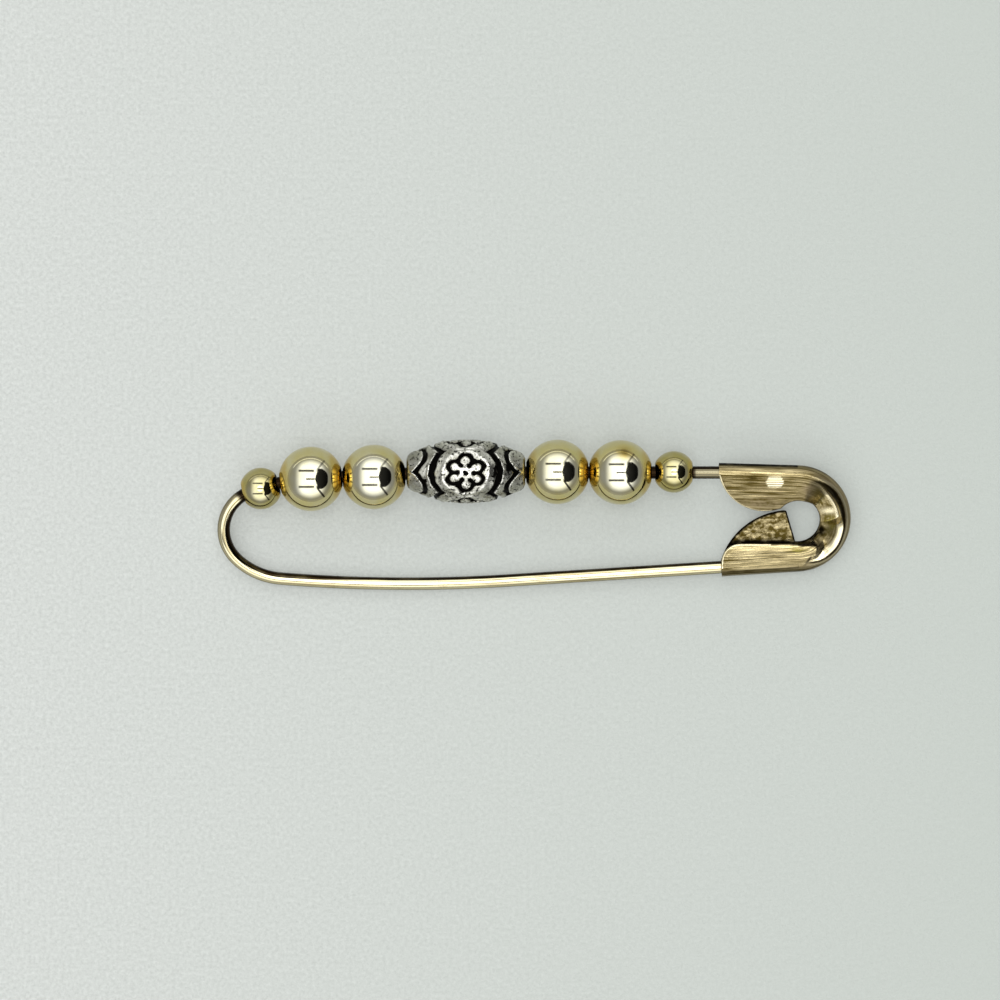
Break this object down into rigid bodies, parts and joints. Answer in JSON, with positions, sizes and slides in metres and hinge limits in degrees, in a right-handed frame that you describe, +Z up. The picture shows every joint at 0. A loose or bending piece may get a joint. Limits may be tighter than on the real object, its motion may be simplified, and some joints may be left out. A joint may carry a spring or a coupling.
{
  "type": "safety pin brooch",
  "caption": "Bent wire safety pin with drilled round metal beads and a barrel bead on its upper arm, and a folded sheet cap that holds the point of the lower arm.",
  "frame": {"origin": "centre of the bottom of the bounding box, on the surface the pin lies on", "axes": "+X along the upper arm from the bend towards the cap, +Y from the lower arm towards the beads, +Z up from the surface"},
  "size_m": [0.0598, 0.0143, 0.0062],
  "materials": {
    "wire": "polished, pale gold",
    "cap": "brushed along the pin, tarnished",
    "plated_bead": "mirror polished champagne gold plating, worn silvery in places",
    "antique_silver": "cast, rubbed bright with black recesses"
  },
  "bodies": {
    "frame": {"wire_frame": "wire", "cap": "cap", "bead_small_left": "plated_bead", "bead_large_1": "plated_bead", "bead_large_2": "plated_bead", "bead_barrel": "antique_silver", "bead_large_3": "plated_bead", "bead_large_4": "plated_bead", "bead_small_right": "plated_bead"},
    "arm": {"pin_arm": "wire"}
  },
  "joints": [
    {"name": "arm_press", "type": "hinge", "parent": "frame", "child": "arm", "pos_m": [-0.02929, -0.00147, 0.0017], "axis": [0, -0.2125, 0.9772], "range_deg": [0, 3.4], "stiffness_Nm_per_rad": 0.05, "springref_deg": -1.72}
  ]
}
